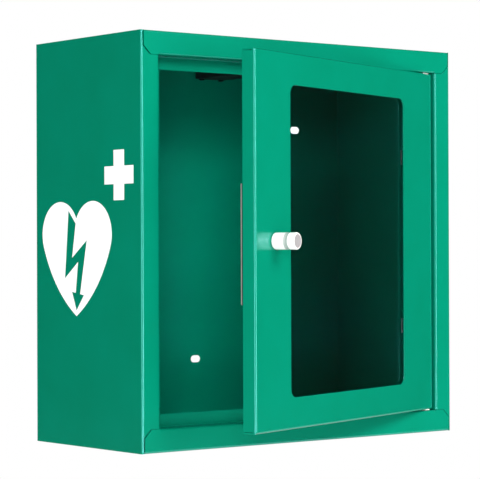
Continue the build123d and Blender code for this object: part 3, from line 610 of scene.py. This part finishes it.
def strip(back, front, grooves, wander, soft, seed):
    """P(z, s): a rounded rectangle s in x and y, grooved on its front by a cosine of x, moved sideways along z."""
    x = np.linspace(STRIP_X[0] + soft, STRIP_X[1] - soft, 49)
    dip = grooves * (1 - np.cos(2 * np.pi * (x - x[0]) / GROOVE_PITCH)) / 2
    t = np.radians(np.linspace(0, 90, 4))
    face = np.column_stack([x, front - dip])
    right = np.column_stack([STRIP_X[1] - soft + soft * np.sin(t), front - soft + soft * np.cos(t)])
    right_back = np.column_stack([STRIP_X[1] - soft + soft * np.cos(t), back + soft - soft * np.sin(t)])
    left_back = np.column_stack([STRIP_X[0] + soft - soft * np.sin(t), back + soft - soft * np.cos(t)])
    left = np.column_stack([STRIP_X[0] + soft - soft * np.cos(t), front - soft + soft * np.sin(t)])
    outline = np.vstack([face, right[1:], right_back, left_back, left[:-1]])
    middle = outline.mean(axis=0)
    z = np.linspace(*STRIP_Z, STRIP_ROWS)
    random = np.random.default_rng(seed)
    knots = random.uniform(-1, 1, WANDER_KNOTS)
    along = np.linspace(0, WANDER_KNOTS - 1, STRIP_ROWS)
    shift = wander * np.interp(along, np.arange(WANDER_KNOTS), knots)
    from_end = np.clip(np.minimum(z - z[0], z[-1] - z) / soft, 0, 1)
    shrink = np.minimum(from_end ** 0.5 * END_SHRINK + (1 - END_SHRINK), 1.0)
    section = middle + (outline - middle)[None] * shrink[:, None, None]
    points = np.concatenate([section + np.array([1.0, 0.0]) * shift[:, None, None],
                             np.broadcast_to(z[:, None, None], (STRIP_ROWS, len(outline), 1))], axis=-1)
    caps = np.broadcast_to(points.mean(axis=1, keepdims=True)[[0, -1]], points[[0, -1]].shape)
    return on_the_door(np.concatenate([caps[:1], points, caps[1:]]))


closed_piece(grid_mesh("magnet_strip", strip(RETURN_BACK + FOAM, RETURN_BACK + FOAM + MAGNET, GROOVE_DEPTH,
                                             0.08 * MM, 0.15 * MM, 4)), "catch_magnet")
closed_piece(grid_mesh("catch_foam_strip", strip(RETURN_BACK, RETURN_BACK + FOAM, 0.0, 0.05 * MM, 0.1 * MM, 9)),
             "catch_tape")

# %% [markdown]
# ## The studio
# A white paper backdrop is lit apart from the product, so it is pure white to the camera while the paint still
# mirrors a dark room. That keeps a glossy colour deep. Light that has gone through the pane towards the wall sees
# the paper 2.4 times brighter, which makes up for the pane's tint, so a wall slot seen through it stays white. That
# is a studio trick, not how a tinted pane would look.
#
# Five softboxes light the cabinet: one in front above the camera's height with a weaker one below it, one overhead,
# and a tall strip on each side. A flat glossy face shows a lamp as a pale patch when the lamp stands at its mirror
# angle to the camera, so each one is placed off those angles, and only the rounded folds catch it as a bright line.

# %% Backdrop
WHITE = (1.0, 1.0, 1.0, 1.0)
ROOM_LIGHT, MIRRORED_LIGHT, EXTRA_THROUGH_PANE = 0.5, 0.008, 1.4
scene.world = bpy.data.worlds.new("studio")
scene.world.use_nodes = True
sky = scene.world.node_tree
sky.nodes.clear()
rays = add(sky, "ShaderNodeLightPath")
room = add(sky, "ShaderNodeBackground", {"Color": WHITE, "Strength": ROOM_LIGHT})
dark = add(sky, "ShaderNodeBackground", {"Color": WHITE, "Strength": MIRRORED_LIGHT})
lit = add(sky, "ShaderNodeMixShader", links={"Fac": rays.outputs["Is Glossy Ray"], 1: room.outputs[0],
                                             2: dark.outputs[0]})
way = add(sky, "ShaderNodeSeparateXYZ", links={
    "Vector": add(sky, "ShaderNodeTexCoord").outputs["Generated"]})
behind = add(sky, "ShaderNodeMath", {"operation": "GREATER_THAN", 1: 0.0}, {0: way.outputs["Y"]})
through = add(sky, "ShaderNodeMath", {"operation": "MULTIPLY"}, {
    0: rays.outputs["Is Transmission Ray"], 1: behind.outputs[0]})
bright = add(sky, "ShaderNodeMath", {"operation": "MULTIPLY_ADD", 1: EXTRA_THROUGH_PANE, 2: 1.0},
             {0: through.outputs[0]})
paper = add(sky, "ShaderNodeBackground", {"Color": WHITE}, {"Strength": bright.outputs[0]})
straight = add(sky, "ShaderNodeMath", {"operation": "MAXIMUM"}, {
    0: rays.outputs["Is Camera Ray"], 1: through.outputs[0]})
seen = add(sky, "ShaderNodeMixShader", links={"Fac": straight.outputs[0], 1: lit.outputs[0],
                                              2: paper.outputs[0]})
add(sky, "ShaderNodeOutputWorld", links={"Surface": seen.outputs[0]})
print("backdrop seen through the pane:", 1 + EXTRA_THROUGH_PANE, "times as bright")


# %% Lights
def softbox(name, place, aim, size, power):
    """A rectangular light at place that faces aim, sized in metres and with power in watts."""
    light = bpy.data.lights.new(name, "AREA")
    light.shape, light.size, light.size_y, light.energy = "RECTANGLE", size[0], size[1], power
    lamp = bpy.data.objects.new(name, light)
    back = np.array(place) - np.array(aim)
    back = back / np.linalg.norm(back)
    right = np.cross([0.0, 0.0, 1.0], back)
    right = right / np.linalg.norm(right)
    turn = np.column_stack([right, np.cross(back, right), back])
    lamp.matrix_world = Matrix.Translation(place) @ Matrix(turn.tolist()).to_4x4()
    lamp.visible_camera = False
    scene.collection.objects.link(lamp)


MIDDLE = (0.0, -0.1, 0.0)
softbox("front_softbox", (-1.8, -2.4, 0.88), MIDDLE, (0.7, 0.75), 48)
softbox("low_softbox", (-1.8, -2.4, -0.62), MIDDLE, (0.7, 0.45), 15)
softbox("top_softbox", (0.5, -2.4, 1.6), MIDDLE, (1.4, 1.2), 68)
softbox("left_strip", (-2.35, -0.96, -0.05), MIDDLE, (0.5, 0.9), 12)
softbox("right_strip", (0.35, -2.9, -0.05), MIDDLE, (0.4, 0.9), 20)
lamps = [thing for thing in scene.objects if thing.type == "LIGHT"]
print(len(lamps), "lights,", round(sum(lamp.data.energy for lamp in lamps)), "watts")

# %% Floor
FLOOR_DROP = 0.9
FLOOR_RADIUS = 5.0


def floor_disc(radius, drop, rings=8, spokes=64):
    """Points at (r cos a, r sin a, -drop) over a grid of radius r and angle a, with one point at the middle."""
    r, a = np.meshgrid(np.linspace(radius / rings, radius, rings),
                       np.linspace(0, 2 * np.pi, spokes, endpoint=False), indexing="ij")
    ring_points = np.stack([r * np.cos(a), r * np.sin(a), np.full_like(r, -drop)], axis=-1).reshape(-1, 3)
    points = np.vstack([[0.0, 0.0, -drop], ring_points])
    i, j = np.meshgrid(np.arange(rings - 1), np.arange(spokes), indexing="ij")
    k = (j + 1) % spokes
    quads = np.stack([i * spokes + j, (i + 1) * spokes + j, (i + 1) * spokes + k, i * spokes + k], axis=-1) + 1
    fan = np.stack([np.zeros(spokes, int), np.arange(spokes) + 1, (np.arange(spokes) + 1) % spokes + 1], axis=-1)
    mesh = bpy.data.meshes.new("studio_floor")
    mesh.from_pydata(points.tolist(), [], quads.reshape(-1, 4).tolist() + fan.tolist())
    return mesh


floor = bpy.data.objects.new("studio_floor", floor_disc(FLOOR_RADIUS, FLOOR_DROP))
scene.collection.objects.link(floor)
matt = start_material("paper_matt_white", {"Base Color": linear("#ECECEA"), "Roughness": 0.9})[0]
floor.data.materials.append(matt)
print("floor is", FLOOR_DROP, "m below the cabinet's middle")
